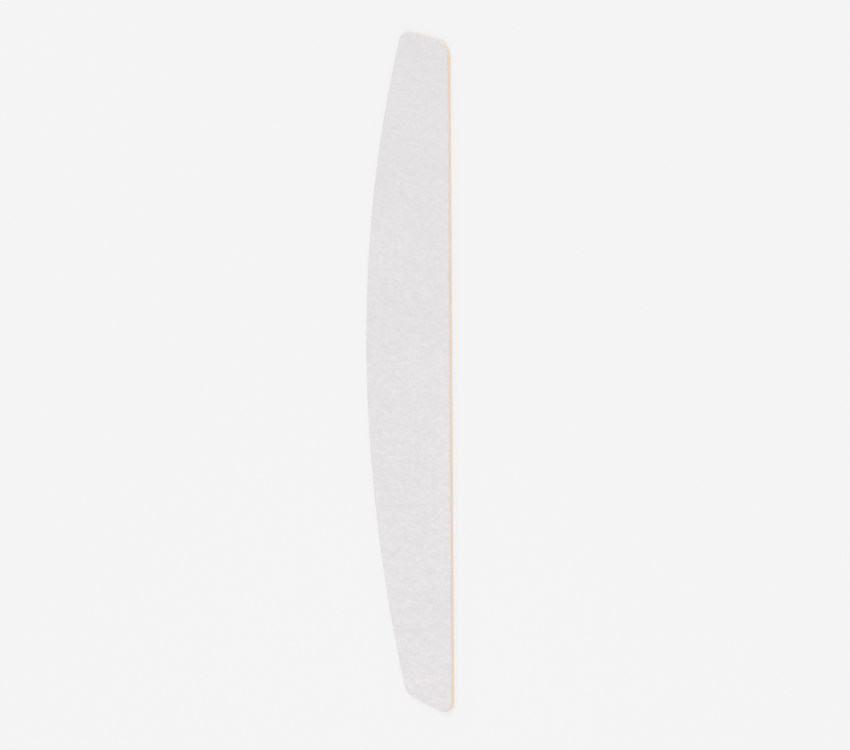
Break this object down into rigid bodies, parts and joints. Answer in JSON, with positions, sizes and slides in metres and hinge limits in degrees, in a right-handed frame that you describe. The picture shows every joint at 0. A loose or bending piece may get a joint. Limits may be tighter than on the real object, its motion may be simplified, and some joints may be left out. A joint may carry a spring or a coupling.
{
  "type": "nail file",
  "caption": "Half-moon nail file: a thin wooden core with pale abrasive paper glued on both faces, for shaping nails by hand.",
  "frame": {"origin": "middle of the lower face, at half the length and half the width, on the ground plane that the file lies on", "axes": "+Y along the file's length, +X towards the straight edge, -X towards the curved edge, +Z out of the upper face, -Z out of the lower face that rests on the ground"},
  "size_m": [0.028, 0.178, 0.001],
  "materials": {
    "wood": "bare sawn veneer, cut edge with fine grain lines, matt",
    "adhesive": "thin dried glue film, satin",
    "paper": "dense uncoated backing paper, matt",
    "resin": "cured resin bed, satin",
    "grit": "pale grey mineral grains under a white anti-clog coat, rough and matt"
  },
  "bodies": {
    "root": {"wood_core": "wood", "upper_adhesive": "adhesive", "upper_backing_paper": "paper", "upper_resin_bed": "resin", "upper_grit_coat": "grit", "lower_adhesive": "adhesive", "lower_backing_paper": "paper", "lower_resin_bed": "resin", "lower_grit_coat": "grit"}
  },
  "joints": []
}
